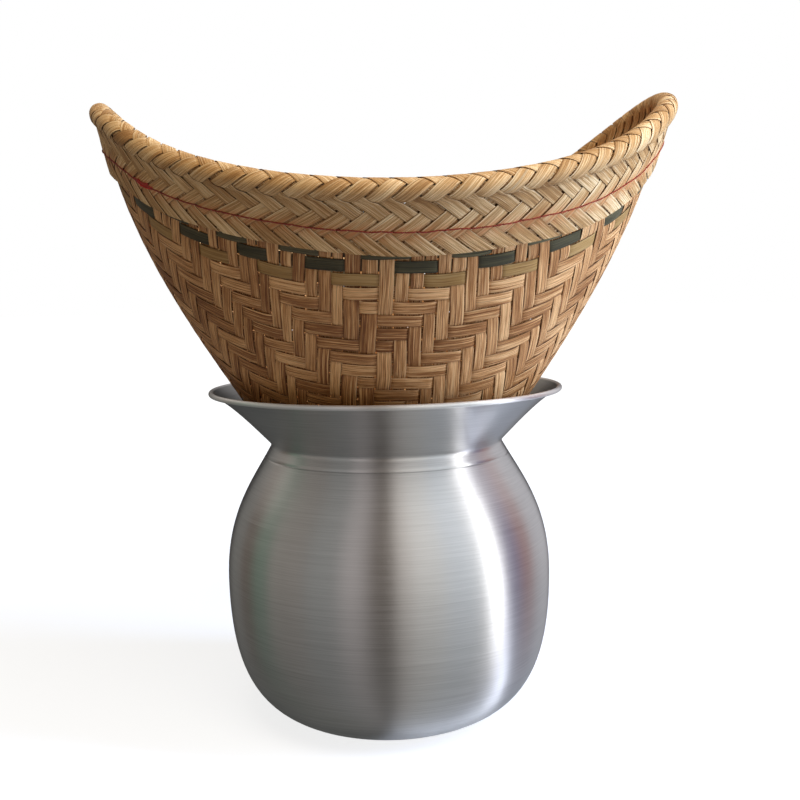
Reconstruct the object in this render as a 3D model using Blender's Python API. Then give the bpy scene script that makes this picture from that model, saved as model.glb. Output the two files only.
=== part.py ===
"""Sticky rice steamer: a spun aluminium pot with a woven bamboo cone standing in its mouth.

Metres, +Z up. The origin is the middle of the pot's base. The basket's horns point along +X and -X,
and its front is -Y. The basket is a flat woven mat closed into a cone, so its places are given on the
mat: a distance from the cone's tip, and an angle phi round the axis, 0 at the front and positive to +X.
"""

import math

import bmesh
import bpy
from mathutils import Vector

# Pot, spun from one aluminium disc.
SHEET = 0.0011
BASE_RING_RADIUS = 0.053
BASE_RING_WIDTH = 0.006
BASE_DISH = 0.0012
BELLY_RADIUS = 0.1023
BELLY_HEIGHT = 0.090
NECK_RADIUS = 0.0724
NECK_HEIGHT = 0.1738
NECK_FILLET = 0.0022
FLARE_RISE = 0.0330
RIM_RADIUS = 0.1105
RIM_BEAD = 0.0015
TURNED_LINE_BELOW_NECK = 0.0075
TURNED_LINE_DEPTH = 0.0003

# Basket mat, woven from split bamboo.
WALL = 0.0016
MAT_SIDE = 0.2956
MAT_CORNER = 0.1400
HALF_ANGLE = math.radians(33.6)
BEND_START = 0.150
BEND_LENGTH = 0.200
HORN_UPRIGHT = 0.445
FRONT_UPRIGHT = 0.617
FRONT_FLARE = 0.787
HORN_LEAN = 0.0133
AXIS_LEAN = 0.0140
FOLD_LENGTH = 0.050
FOLD_BLEND_END = 0.115

# Dyed strips, woven in just below the rim band.
STRIP = 0.00045
STRIP_WIDTH = 0.0066
STRIP_PITCH = 0.00766
OLIVE_STRIP_DISTANCE = 0.2414
WEAVE_SWING = 0.03

# Rim: two hoops hold the mat's edge between them, and a plaited band folds over both.
HOOP_THICKNESS = 0.0032
HOOP_HEIGHT = 0.0090
BAND = 0.0013
BAND_OUTSIDE = 0.0410
BAND_INSIDE = 0.0360
STITCH_BELOW_RIM = 0.0262
THREAD_RADIUS = 0.00045
TACK_ANGLE = math.radians(-56)
TACK_LENGTH = 0.012
TACK_HEIGHT = 0.003
TACK_THICKNESS = 0.0010

# Clearances and facets.
GAP = 0.0003
SEAT_GAP = 0.0004
STRIP_GAP = 0.0005
STRIP_TUCK = 0.010
TURNS = 44
COLUMNS = 56

MATERIALS = {
    "spun_aluminium": ((0.80, 0.80, 0.81), 0.32, 1.0),
    "woven_bamboo": ((0.50, 0.30, 0.14), 0.55, 0.0),
    "dyed_bamboo": ((0.045, 0.045, 0.025), 0.55, 0.0),
    "olive_bamboo": ((0.24, 0.17, 0.05), 0.50, 0.0),
    "plaited_band": ((0.62, 0.43, 0.23), 0.60, 0.0),
    "hoop_bamboo": ((0.55, 0.38, 0.20), 0.60, 0.0),
    "red_thread": ((0.35, 0.04, 0.03), 0.80, 0.0),
}


def clear_scene():
    """Remove every object that the new file opened with."""
    for item in list(bpy.data.objects):
        bpy.data.objects.remove(item, do_unlink=True)


def material(name):
    """A Principled material with the named colour, roughness and metallic value."""
    found = bpy.data.materials.get(name)
    if found:
        return found
    colour, roughness, metallic = MATERIALS[name]
    made = bpy.data.materials.new(name)
    made.use_nodes = True
    shader = made.node_tree.nodes["Principled BSDF"]
    shader.inputs["Base Color"].default_value = (*colour, 1.0)
    shader.inputs["Roughness"].default_value = roughness
    shader.inputs["Metallic"].default_value = metallic
    return made


def add_object(name, bm, material_name, parent=None, sharp_angle=math.radians(35)):
    """Turn a finished bmesh into a smooth shaded object."""
    bmesh.ops.recalc_face_normals(bm, faces=bm.faces)
    mesh = bpy.data.meshes.new(name)
    bm.to_mesh(mesh)
    bm.free()
    mesh.shade_smooth()
    mesh.set_sharp_from_angle(angle=sharp_angle)
    mesh.materials.append(material(material_name))
    item = bpy.data.objects.new(name, mesh)
    bpy.context.collection.objects.link(item)
    item.parent = parent
    return item


def bezier(start, pull_start, pull_end, end, steps):
    """Points of a cubic curve, without its last one."""
    first, second, third, last = Vector(start), Vector(pull_start), Vector(pull_end), Vector(end)
    points = []
    for k in range(steps):
        t = k / steps
        s = 1 - t
        points.append(s ** 3 * first + 3 * s * s * t * second + 3 * s * t * t * third + t ** 3 * last)
    return points


# The pot.

def pot_outline(bowl_steps, shoulder_steps, flare_steps):
    """Outer profile of the pot as (radius, height), from the base's middle to just under the rim bead."""
    ring_inside = BASE_RING_RADIUS - BASE_RING_WIDTH
    neck = Vector((NECK_RADIUS, NECK_HEIGHT))
    belly = Vector((BELLY_RADIUS, BELLY_HEIGHT))
    lip = Vector((RIM_RADIUS - RIM_BEAD, NECK_HEIGHT + FLARE_RISE))
    bowl_run = BELLY_RADIUS - BASE_RING_RADIUS
    shoulder_run = BELLY_RADIUS - NECK_RADIUS
    shoulder_rise = NECK_HEIGHT - BELLY_HEIGHT
    flare_run = lip.x - NECK_RADIUS
    dish_edge = Vector((ring_inside - 2.5 * BASE_DISH, BASE_DISH))
    base = [Vector((0.0, BASE_DISH)), dish_edge, Vector((ring_inside, 0.0))]
    bowl_low = (BASE_RING_RADIUS + 0.67 * bowl_run, 0.07 * BELLY_HEIGHT)
    bowl_high = (BELLY_RADIUS, 0.33 * BELLY_HEIGHT)
    bowl = bezier((BASE_RING_RADIUS, 0.0), bowl_low, bowl_high, belly, bowl_steps)
    shoulder_low = (BELLY_RADIUS, BELLY_HEIGHT + 0.50 * shoulder_rise)
    shoulder_high = (NECK_RADIUS + 0.42 * shoulder_run, NECK_HEIGHT - 0.273 * shoulder_rise)
    shoulder = bezier(belly, shoulder_low, shoulder_high, neck, shoulder_steps)
    flare_low = (NECK_RADIUS + 0.317 * flare_run, NECK_HEIGHT + 0.37 * FLARE_RISE)
    flare_high = (NECK_RADIUS + 0.70 * flare_run, NECK_HEIGHT + 0.84 * FLARE_RISE)
    flare = bezier(neck, flare_low, flare_high, lip, flare_steps)
    into_neck = (shoulder[-1] - neck).normalized()
    out_of_neck = (flare[1] - neck).normalized()
    fillet = [neck + into_neck * NECK_FILLET, neck + (into_neck + out_of_neck) * 0.25 * NECK_FILLET,
              neck + out_of_neck * NECK_FILLET]
    return base + bowl + shoulder + fillet + flare[1:]


def pot_outside():
    """The outer profile, with one shallow line turned into the shoulder just below the neck."""
    line_height = NECK_HEIGHT - TURNED_LINE_BELOW_NECK
    profile = pot_outline(7, 8, 5)
    cut = []
    for before, after in zip(profile, profile[1:]):
        cut.append(before)
        if before.y < line_height <= after.y:
            along = (after - before).normalized()
            middle = before.lerp(after, (line_height - before.y) / (after.y - before.y))
            inward = Vector((-along.y, along.x))
            half = 2 * TURNED_LINE_DEPTH * along
            cut += [middle - half, middle + inward * TURNED_LINE_DEPTH, middle + half]
    return cut + profile[-1:]


def pot_inside():
    """The inner profile, one sheet's thickness inside the outer one, in the same order."""
    inside = []
    profile = pot_outline(5, 6, 4)
    for k, point in enumerate(profile):
        before = profile[max(k - 1, 0)]
        after = profile[min(k + 1, len(profile) - 1)]
        along = (after - before).normalized()
        if point.x < BASE_RING_RADIUS:
            along = Vector((1.0, 0.0))
        inside.append(point + SHEET * Vector((-along.y, along.x)))
    return inside


def rim_bead():
    """Round bead at the pot's edge, from its under side round to its top."""
    centre = Vector((RIM_RADIUS - RIM_BEAD, NECK_HEIGHT + FLARE_RISE))
    angles = [math.radians(a) for a in (-75, -25, 25, 75, 125)]
    return [centre + RIM_BEAD * Vector((math.cos(a), math.sin(a))) for a in angles]


def build_pot():
    """The pot is one closed profile turned about the axis."""
    profile = pot_outside() + rim_bead() + pot_inside()[::-1]
    bm = bmesh.new()
    rows = [bm.verts.new((p.x, 0.0, p.y)) for p in profile]
    edges = [bm.edges.new(pair) for pair in zip(rows, rows[1:])]
    bmesh.ops.spin(bm, geom=rows + edges, cent=(0, 0, 0), axis=(0, 0, 1), angle=2 * math.pi,
                   steps=TURNS, use_merge=True, use_duplicate=False)
    bmesh.ops.remove_doubles(bm, verts=bm.verts, dist=1e-6)
    return add_object("pot", bm, "spun_aluminium", sharp_angle=math.radians(50))


# The basket's wall, as places on the mat.

def lean_angle(rho, phi):
    """Angle between the wall and the axis: more upright at the horns, more open at front and back."""
    t = max(rho - BEND_START, 0.0) / BEND_LENGTH
    at_horn = HALF_ANGLE - HORN_UPRIGHT * t * t
    at_front = HALF_ANGLE - FRONT_UPRIGHT * t + FRONT_FLARE * t * t
    share = math.sin(phi) ** 2
    return at_horn * share + at_front * (1 - share)


def generator(rho, phi):
    """Radius from the axis and height over the cone's tip, at distance rho up the wall."""
    straight = min(rho, BEND_START)
    radius = straight * math.sin(HALF_ANGLE)
    height = straight * math.cos(HALF_ANGLE)
    steps = 16
    step = (rho - straight) / steps
    for k in range(steps if step > 0 else 0):
        angle = lean_angle(straight + (k + 0.5) * step, phi)
        radius += step * math.sin(angle)
        height += step * math.cos(angle)
    return radius, height


def cone_tip_height():
    """Height of the cone's tip when the wall rests in the pot's neck, a seat gap away from it."""
    inside = [p for p in pot_inside() if p.y > 0.5 * NECK_HEIGHT]
    tip = -math.inf
    for phi in (0.0, 0.5 * math.pi):
        samples = [generator(0.04 + 0.002 * k, phi) for k in range(100)]
        for point in inside:
            for (low_radius, low_height), (high_radius, high_height) in zip(samples, samples[1:]):
                reach = point.x - SEAT_GAP - 0.5 * WALL / math.cos(HALF_ANGLE)
                if low_radius <= reach < high_radius:
                    share = (reach - low_radius) / (high_radius - low_radius)
                    tip = max(tip, point.y - low_height - share * (high_height - low_height))
    return tip


def hand_lean(point, rho):
    """A hand-made basket: its axis leans a little to one side, and one horn stands a little higher."""
    share = min(max((rho - BEND_START) / (MAT_SIDE - BEND_START), 0.0), 1.0)
    return point + Vector((AXIS_LEAN * (point.z - NECK_HEIGHT), 0, HORN_LEAN * point.x * share))


def cone_point(rho, phi, tip):
    """Middle of the wall above the folded bottom."""
    radius, height = generator(rho, phi)
    point = Vector((radius * math.sin(phi), -radius * math.cos(phi), tip + height))
    return hand_lean(point, rho)


def cone_place(rho, phi, out, tip):
    """A place out metres outside the wall's middle, above the folded bottom."""
    point = cone_point(rho, phi, tip)
    small = 1e-4
    up = cone_point(rho + small, phi, tip) - point
    round_axis = cone_point(rho, phi + small, tip) - point
    return point + out * round_axis.cross(up).normalized()


def fold_place(phi, out, tip):
    """A place on the bottom fold, which runs from front to back under the basket."""
    theta = 0.5 * abs(phi)
    share = math.sin(theta) / (math.sin(theta) + math.cos(theta))
    half = 0.5 * FOLD_LENGTH + out
    slant = FOLD_BLEND_END - 0.5 * FOLD_LENGTH
    drop = math.sqrt(slant ** 2 - (FOLD_BLEND_END * math.sin(HALF_ANGLE)) ** 2)
    height = tip + FOLD_BLEND_END * math.cos(HALF_ANGLE) - drop
    lean = AXIS_LEAN * (height - NECK_HEIGHT)
    return Vector((lean, half * (2 * share - 1), height - 1.2 * out))


def wall_place(rho, phi, out, tip):
    """A place on the wall at any distance from its fold up to its rim."""
    if rho >= FOLD_BLEND_END:
        return cone_place(rho, phi, out, tip)
    theta = 0.5 * abs(phi)
    fold_rho = FOLD_LENGTH / math.sqrt(2) / (math.sin(theta) + math.cos(theta))
    t = (rho - fold_rho) / (FOLD_BLEND_END - fold_rho)
    start = fold_place(phi, out, tip)
    end = cone_place(FOLD_BLEND_END, phi, out, tip)
    end_pull = (end - cone_place(FOLD_BLEND_END + 0.001, phi, out, tip)) * 1000 * (end - start).length
    start_pull = end - start
    h_start = 2 * t ** 3 - 3 * t ** 2 + 1
    h_start_pull = t ** 3 - 2 * t ** 2 + t
    h_end_pull = t ** 3 - t ** 2
    return start * h_start + start_pull * h_start_pull + end * (1 - h_start) - end_pull * h_end_pull


def rim_distance(phi, below):
    """Distance from the tip to a line that runs below the rim's top all round, at angle phi."""
    theta = 0.5 * abs(phi)
    theta = min(theta, 0.5 * math.pi - theta)
    side = MAT_SIDE - below
    centre = MAT_SIDE - MAT_CORNER
    if side * math.tan(theta) < centre:
        return side / math.cos(theta)
    reach = centre * (math.sin(theta) + math.cos(theta))
    return reach + math.sqrt(reach ** 2 - 2 * centre ** 2 + (MAT_CORNER - below) ** 2)


def rim_place(phi, below, out, tip):
    """A place below the rim's top and out from the wall's middle."""
    return wall_place(rim_distance(phi, below), phi, out, tip)


def columns():
    """Angles of the columns round the basket."""
    return [2 * math.pi * k / COLUMNS - math.pi for k in range(COLUMNS)]


def wall_rows(phi):
    """Distances up the mat of the wall's rows, from just over the fold to its top edge in the rim."""
    theta = 0.5 * abs(phi)
    fold = FOLD_LENGTH / math.sqrt(2) / (math.sin(theta) + math.cos(theta))
    under_band = rim_distance(phi, BAND_OUTSIDE)
    blend = [fold + (FOLD_BLEND_END - fold) * k / 4 for k in range(1, 4)]
    cone = [FOLD_BLEND_END + (under_band - FOLD_BLEND_END) * k / 7 for k in range(7)]
    hoop_end = rim_hoop_top() + HOOP_HEIGHT
    band = [rim_distance(phi, BAND_OUTSIDE + (hoop_end - BAND_OUTSIDE) * k / 3) for k in range(4)]
    return blend + cone + band + [rim_distance(phi, rim_wall_top())]


def build_wall(tip, parent):
    """The mat as one shell: two skins that meet at the rim and each close along the bottom fold."""
    bm = bmesh.new()
    tops = []
    for out in (0.5 * WALL, -0.5 * WALL):
        half = [bm.verts.new(fold_place(phi, out, tip)) for phi in columns()[:COLUMNS // 2 + 1]]
        fold = [half[min(k, COLUMNS - k)] for k in range(COLUMNS)]
        climbs = []
        for phi in columns():
            climbs.append([bm.verts.new(wall_place(rho, phi, out, tip)) for rho in wall_rows(phi)])
        rings = [fold] + [list(ring) for ring in zip(*climbs)]
        for low, high in zip(rings, rings[1:]):
            close_ring(bm, low, high)
        tops.append(rings[-1])
    close_ring(bm, *tops)
    return add_object("woven_wall", bm, "woven_bamboo", parent)


def close_ring(bm, low, high):
    """Faces between two rings of the same length."""
    count = len(low)
    for k in range(count):
        corners = [low[k], low[(k + 1) % count], high[(k + 1) % count], high[k]]
        unique = list(dict.fromkeys(corners))
        bm.faces.new(unique)


def sweep_round_rim(name, section, material_name, tip, parent):
    """Carry a closed section, given as (below rim, out from the wall's middle), once round the rim."""
    bm = bmesh.new()
    rings = [[bm.verts.new(rim_place(phi, below, out, tip)) for below, out in section] for phi in columns()]
    for here, there in zip(rings, rings[1:] + rings[:1]):
        close_ring(bm, here, there)
    return add_object(name, bm, material_name, parent)


# The rim's layers, each worked out from the one inside it.

def rim_hoop_top():
    """Depth of the hoops' top edge below the rim's top."""
    return BAND + GAP


def rim_wall_top():
    """Depth of the mat's own top edge below the rim's top."""
    return rim_hoop_top() + GAP


def band_standoff():
    """Distance from the wall's middle to the band's inner face, with a dyed strip between them."""
    return 0.5 * WALL + STRIP_GAP + STRIP + STRIP_GAP


def hoop_outline():
    """Section of the outer hoop as (below rim, out), flat on the mat's side and rounded on the other."""
    top = rim_hoop_top()
    flat = 0.5 * WALL + GAP
    crown = flat + HOOP_THICKNESS
    return [
        (top, flat),
        (top + 0.10 * HOOP_HEIGHT, flat + 0.55 * HOOP_THICKNESS),
        (top + 0.35 * HOOP_HEIGHT, crown),
        (top + 0.75 * HOOP_HEIGHT, crown),
        (top + HOOP_HEIGHT, flat + 0.35 * HOOP_THICKNESS),
        (top + HOOP_HEIGHT, flat),
    ]


def build_hoops(tip, parent):
    """Two split canes that hold the mat's edge between them."""
    for name, side in (("rim_hoop_outer", 1), ("rim_hoop_inner", -1)):
        section = [(below, side * out) for below, out in hoop_outline()]
        sweep_round_rim(name, section, "hoop_bamboo", tip, parent)


def band_leg(length):
    """The flat part of one leg of the band, from its edge up to where it leaves the mat for the hoop."""
    seat = band_standoff() - GAP
    leaves = rim_hoop_top() + 1.7 * HOOP_HEIGHT
    depths = (length, 0.5 * (length + STITCH_BELOW_RIM), STITCH_BELOW_RIM, leaves)
    return [(below, seat) for below in depths]


def seat_line():
    """What the band lies on: up the mat, round the outer hoop, over the inner one and down the mat."""
    over_hoop = hoop_outline()[4::-1]
    outside = band_leg(BAND_OUTSIDE) + over_hoop
    inside = [(below, -out) for below, out in band_leg(BAND_INSIDE) + over_hoop]
    return [Vector(place) for place in outside + inside[::-1]]


def offset_line(line, distance):
    """The same line moved to its left by a distance, with its corners kept."""
    moved = []
    for k, point in enumerate(line):
        before = (point - line[k - 1]).normalized() if k > 0 else (line[1] - point).normalized()
        after = (line[k + 1] - point).normalized() if k + 1 < len(line) else before
        normal = Vector((before.y + after.y, -before.x - after.x)).normalized()
        corner = normal.dot(Vector((before.y, -before.x)))
        moved.append(point + normal * distance / corner)
    return moved


def build_band(tip, parent):
    """The plaited band, folded down over the hoops on both sides of the mat."""
    line = seat_line()
    section = offset_line(line, GAP + BAND) + offset_line(line, GAP)[::-1]
    sweep_round_rim("rim_band", section, "plaited_band", tip, parent)


def build_threads(tip, parent):
    """The sewing thread's run on each side of the band, and the tack of stitches that ends it."""
    seat = band_standoff() + BAND + GAP + THREAD_RADIUS
    for name, side in (("stitch_thread_outer", 1), ("stitch_thread_inner", -1)):
        section = []
        for k in range(4):
            turn = 0.5 * math.pi * k
            below = STITCH_BELOW_RIM + THREAD_RADIUS * math.cos(turn)
            section.append((below, side * (seat + THREAD_RADIUS * math.sin(turn))))
        sweep_round_rim(name, section, "red_thread", tip, parent)
    build_tack(tip, parent)


def build_tack(tip, parent):
    """A short pad of overcast stitches just under the thread's run."""
    top = STITCH_BELOW_RIM + THREAD_RADIUS + GAP
    seat = band_standoff() + BAND + GAP
    radius = rim_place(TACK_ANGLE, top, 0.0, tip).xy.length
    half_turn = 0.5 * TACK_LENGTH / radius
    bm = bmesh.new()
    rings = []
    for share in (-1.0, -0.5, 0.0, 0.5, 1.0):
        swell = 1.0 - 0.45 * share ** 4
        low = top + 0.5 * TACK_HEIGHT * (1 - swell)
        high = top + 0.5 * TACK_HEIGHT * (1 + swell)
        crown = seat + TACK_THICKNESS * swell
        corners = [(low, seat), (high, seat), (high, 0.5 * (seat + crown)), (0.5 * (low + high), crown),
                   (low, 0.5 * (seat + crown))]
        phi = TACK_ANGLE + share * half_turn
        rings.append([bm.verts.new(rim_place(phi, below, out, tip)) for below, out in corners])
    close_lengths(bm, rings)
    add_object("thread_tack", bm, "red_thread", parent)


def close_lengths(bm, rings):
    """Faces along a run of equal sections, with a cap at each end."""
    for here, there in zip(rings, rings[1:]):
        close_ring(bm, here, there)
    bm.faces.new(rings[0])
    bm.faces.new(rings[-1][::-1])


# The dyed strips.

def weave_angle(phi):
    """Angle on the mat of the column at phi from the middle of a strip."""
    return 0.5 * abs(phi) + WEAVE_SWING * math.sin(2 * abs(phi))


def depth_below_rim(rho, phi):
    """How far a mat place lies below the rim's top."""
    theta = 0.5 * abs(phi)
    across, along = rho * math.sin(theta), rho * math.cos(theta)
    centre = MAT_SIDE - MAT_CORNER
    if across < centre:
        return MAT_SIDE - along
    return MAT_CORNER - math.hypot(across - centre, along - centre)


def strip_angles(distance):
    """Column angles that a strip passes before it has tucked itself under the band."""
    step = 2 * math.pi / COLUMNS
    count = 0
    phi = 0.0
    while depth_below_rim(distance / math.cos(weave_angle(phi)), phi) > BAND_OUTSIDE - STRIP_TUCK:
        count += 1
        phi = count * step
    return [k * step for k in range(-count, count + 1)]


def build_strip(name, distance, middle, material_name, tip, parent):
    """One flat strip across the front or the back, a set distance out from the cone's tip on the mat."""
    seat = 0.5 * WALL + STRIP_GAP
    bm = bmesh.new()
    rings = []
    for turn in strip_angles(distance):
        stretch = 1 / math.cos(weave_angle(turn))
        low = (distance - 0.5 * STRIP_WIDTH) * stretch
        high = (distance + 0.5 * STRIP_WIDTH) * stretch
        corners = [(low, seat), (high, seat), (high, seat + STRIP), (low, seat + STRIP)]
        phi = middle + turn
        rings.append([bm.verts.new(cone_place(rho, phi, out, tip)) for rho, out in corners])
    close_lengths(bm, rings)
    return add_object(name, bm, material_name, parent)


def build_strips(tip, parent):
    """On each side an olive strip, and two dark strips above it, the top one half under the band."""
    for side, middle in (("front", 0.0), ("back", math.pi)):
        build_strip(f"olive_strip_{side}", OLIVE_STRIP_DISTANCE, middle, "olive_bamboo", tip, parent)
        for k, row in enumerate(("lower", "upper"), start=1):
            distance = OLIVE_STRIP_DISTANCE + k * STRIP_PITCH
            build_strip(f"dark_strip_{side}_{row}", distance, middle, "dyed_bamboo", tip, parent)


def build():
    """The pot, and the basket under an empty on the axis that it lifts along."""
    clear_scene()
    build_pot()
    basket = bpy.data.objects.new("basket", None)
    bpy.context.collection.objects.link(basket)
    tip = cone_tip_height()
    build_wall(tip, basket)
    build_hoops(tip, basket)
    build_band(tip, basket)
    build_threads(tip, basket)
    build_strips(tip, basket)


build()
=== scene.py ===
"""Sticky rice steamer: spun aluminium pot and woven bamboo basket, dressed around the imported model."""

import math
import random

import bpy
import numpy as np
from mathutils import Matrix, Vector


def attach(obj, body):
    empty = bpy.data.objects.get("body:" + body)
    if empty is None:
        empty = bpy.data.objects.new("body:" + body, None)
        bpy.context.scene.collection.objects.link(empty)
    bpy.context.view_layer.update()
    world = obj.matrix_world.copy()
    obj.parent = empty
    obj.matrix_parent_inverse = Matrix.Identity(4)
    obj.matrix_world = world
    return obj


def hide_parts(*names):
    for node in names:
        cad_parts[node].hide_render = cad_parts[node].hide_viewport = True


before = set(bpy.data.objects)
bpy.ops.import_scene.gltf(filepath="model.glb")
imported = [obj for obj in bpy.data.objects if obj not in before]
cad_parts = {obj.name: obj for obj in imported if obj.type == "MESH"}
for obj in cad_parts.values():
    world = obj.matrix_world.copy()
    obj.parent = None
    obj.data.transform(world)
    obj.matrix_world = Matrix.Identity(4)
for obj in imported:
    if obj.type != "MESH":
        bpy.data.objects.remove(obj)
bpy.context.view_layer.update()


# The studio: a white floor that runs out of sight, a tall window light on the right, a soft light
# overhead, and round them a surround that is white to the eye. Shine sees it as dark and light panels,
# some of them tinted, and a tall window.

class Signal:
    """One output of a shader node. Python's own signs on it add the Math nodes that work them out."""

    def __init__(self, recipe, socket):
        self.recipe = recipe
        self.socket = socket

    def maths(self, operation, first, second=0.0):
        return self.recipe.node("ShaderNodeMath", {"operation": operation}, {0: first, 1: second})

    def __add__(self, other):
        return self.maths("ADD", self, other)

    def __sub__(self, other):
        return self.maths("SUBTRACT", self, other)

    def __rsub__(self, other):
        return self.maths("SUBTRACT", other, self)

    def __mul__(self, other):
        return self.maths("MULTIPLY", self, other)

    def __pow__(self, other):
        return self.maths("POWER", self, other)

    def __gt__(self, other):
        return self.maths("GREATER_THAN", self, other)

    def __lt__(self, other):
        return self.maths("LESS_THAN", self, other)

    def __abs__(self):
        return self.maths("ABSOLUTE", self)

    def __truediv__(self, other):
        return self.maths("DIVIDE", self, other)

    def held(self):
        """The same value, kept between 0 and 1."""
        return self.maths("MINIMUM", self.maths("MAXIMUM", self, 0.0), 1.0)

    __radd__ = __add__
    __rmul__ = __mul__


class Recipe:
    """The shader nodes of one finish, or of the light round the object."""

    def __init__(self, owner):
        owner.use_nodes = True
        self.tree = owner.node_tree

    def feed(self, socket, value):
        if isinstance(value, Signal):
            self.tree.links.new(value.socket, socket)
        elif socket.type == "RGBA":
            socket.default_value = (*value, 1.0)
        else:
            socket.default_value = value

    def node(self, kind, settings=None, values=None, output=0):
        """Add a node of a kind, with its settings, then its sockets' values or links."""
        made = self.tree.nodes.new(kind)
        for name, value in (settings or {}).items():
            if name == "stops":
                stops = made.color_ramp.elements
                while len(stops) < len(value):
                    stops.new(0.5)
                for stop, (place, colour) in zip(stops, value):
                    stop.position = place
                    stop.color = (*colour, 1.0)
            else:
                setattr(made, name, value)
        for name, value in (values or {}).items():
            self.feed(made.inputs[name], value)
        return Signal(self, made.outputs[output])

    def noise(self, place, scale, detail=2.0, roughness=0.5):
        return self.node("ShaderNodeTexNoise", {}, {
            "Vector": place, "Scale": scale, "Detail": detail, "Roughness": roughness})

    def place(self, x, y, z):
        return self.node("ShaderNodeCombineXYZ", {}, {"X": x, "Y": y, "Z": z})

    def mix(self, first, second, share):
        return self.node("ShaderNodeMix", {"data_type": "RGBA"}, {0: share, 6: first, 7: second}, output=2)

    def parts(self, vector):
        return [self.node("ShaderNodeSeparateXYZ", {}, {"Vector": vector}, output=k) for k in range(3)]

    def bump(self, height, strength, depth):
        return self.node("ShaderNodeBump", {}, {"Height": height, "Strength": strength, "Distance": depth})

    def surface(self, values):
        """Set the finish's own shader."""
        shader = self.tree.nodes["Principled BSDF"]
        for name, value in values.items():
            self.feed(shader.inputs[name], value)


def new_finish(name):
    made = bpy.data.materials.new(name)
    return made, Recipe(made)


# The camera stands a little round to the left, because the basket is seen turned in the pot's mouth.
CAMERA_SIDE = 0.0632
CAMERA_DISTANCE = 0.63846
CAMERA_HEIGHT = 0.27012
CAMERA_PLACE = Vector((-CAMERA_DISTANCE * math.sin(CAMERA_SIDE),
                       -CAMERA_DISTANCE * math.cos(CAMERA_SIDE), CAMERA_HEIGHT))
CAMERA_ASIDE = 0.0141
CAMERA_TURN = CAMERA_ASIDE + CAMERA_SIDE
CAMERA_DOWN = 0.1115
CAMERA_TILT = 0.0193
FOCAL_PIXELS = 1012.0
PICTURE_PIXELS = 800.0
SENSOR = 36.0
LENS = FOCAL_PIXELS / PICTURE_PIXELS * SENSOR

ahead_level = Vector((math.sin(CAMERA_TURN), math.cos(CAMERA_TURN), 0.0))
right_level = Vector((math.cos(CAMERA_TURN), -math.sin(CAMERA_TURN), 0.0))
ahead = ahead_level * math.cos(CAMERA_DOWN) - Vector((0, 0, math.sin(CAMERA_DOWN)))
up_level = ahead_level * math.sin(CAMERA_DOWN) + Vector((0, 0, math.cos(CAMERA_DOWN)))
camera_right = right_level * math.cos(CAMERA_TILT) - up_level * math.sin(CAMERA_TILT)
camera_up = right_level * math.sin(CAMERA_TILT) + up_level * math.cos(CAMERA_TILT)
camera = bpy.data.objects.new("camera", bpy.data.cameras.new("camera"))
bpy.context.scene.collection.objects.link(camera)
camera.data.sensor_width = SENSOR
camera.data.lens = LENS
camera.matrix_world = Matrix((
    (camera_right.x, camera_up.x, -ahead.x, CAMERA_PLACE.x),
    (camera_right.y, camera_up.y, -ahead.y, CAMERA_PLACE.y),
    (camera_right.z, camera_up.z, -ahead.z, CAMERA_PLACE.z),
    (0.0, 0.0, 0.0, 1.0)))
bpy.context.scene.camera = camera
bpy.context.scene.view_settings.view_transform = "Standard"

# The surround: z runs from -1 straight down to 1 straight up, and headings are degrees from the camera's
# side, positive to the right. Each panel has its start, its end and its shade, and shades blend between.
BLACK = (0.0, 0.0, 0.0)
WHITE = (1.0, 1.0, 1.0)
WARM_LIGHT = (1.0, 0.93, 0.82)
SURROUND_LIGHT = 0.30
PANELS = [
    (-180, -154, (0.03, 0.03, 0.03)),
    (-145, -128, (0.20, 0.195, 0.18)),
    (-124, -112, (0.15, 0.115, 0.095)),
    (-106, -96, (0.165, 0.235, 0.18)),
    (-90, -62, (0.33, 0.30, 0.27)),
    (-58, -38, (0.345, 0.345, 0.33)),
    (-30, -20, (0.58, 0.53, 0.515)),
    (-10, 2, (0.155, 0.127, 0.105)),
    (7, 14, (0.79, 0.73, 0.675)),
    (20, 36, (0.90, 0.88, 0.84)),
    (42, 60, (0.86, 0.91, 0.96)),
    (70, 80, (1.00, 1.00, 1.00)),
    (90, 100, (0.19, 0.165, 0.30)),
    (107, 114, (0.46, 0.26, 0.24)),
    (124, 150, (0.64, 0.63, 0.66)),
    (160, 180, (0.03, 0.03, 0.03)),
]
WINDOW_HEADING = 73.5
WINDOW_HALF = 5.3
WINDOW_FAN = 17.0
WINDOW_SLANT = 7.0
WINDOW_TURNS_BELOW = 0.46
WINDOW_TURN = 90.0
WINDOW_TOP = 0.72
LOW_TINT = (0.24, 0.25, 0.25)
LOW_RIGHT_TINT = (0.42, 0.46, 0.54)
UPPER_LEFT_TINT = (0.66, 0.60, 0.54)
UPPER_RIGHT_TINT = (0.88, 0.85, 0.86)

world = bpy.data.worlds.new("studio")
bpy.context.scene.world = world
surround = Recipe(world)
shine = surround.node("ShaderNodeLightPath", output="Is Glossy Ray")
seen = (surround.node("ShaderNodeLightPath", output="Is Camera Ray") + shine
        + surround.node("ShaderNodeLightPath", output="Is Transmission Ray"))
x, y, z = surround.parts(surround.node("ShaderNodeTexCoord", output="Generated"))
heading = surround.node("ShaderNodeMath", {"operation": "ARCTAN2"}, {0: x, 1: 0.0 - y}) + CAMERA_SIDE
stops = [(edge / 360.0 + 0.5, shade) for start, end, shade in PANELS for edge in (start, end)]
panels = surround.node("ShaderNodeValToRGB", {"stops": stops}, {"Fac": heading * (0.5 / math.pi) + 0.5})
below = (z * -3.0 - 0.45).held()
deep = (z * -4.0 - 2.6).held()
low_panels = surround.mix(surround.mix(panels, BLACK, 0.60), LOW_TINT, 0.25)
above = (z * 3.3 - 0.6).held()
degrees = heading * (180.0 / math.pi)
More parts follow.
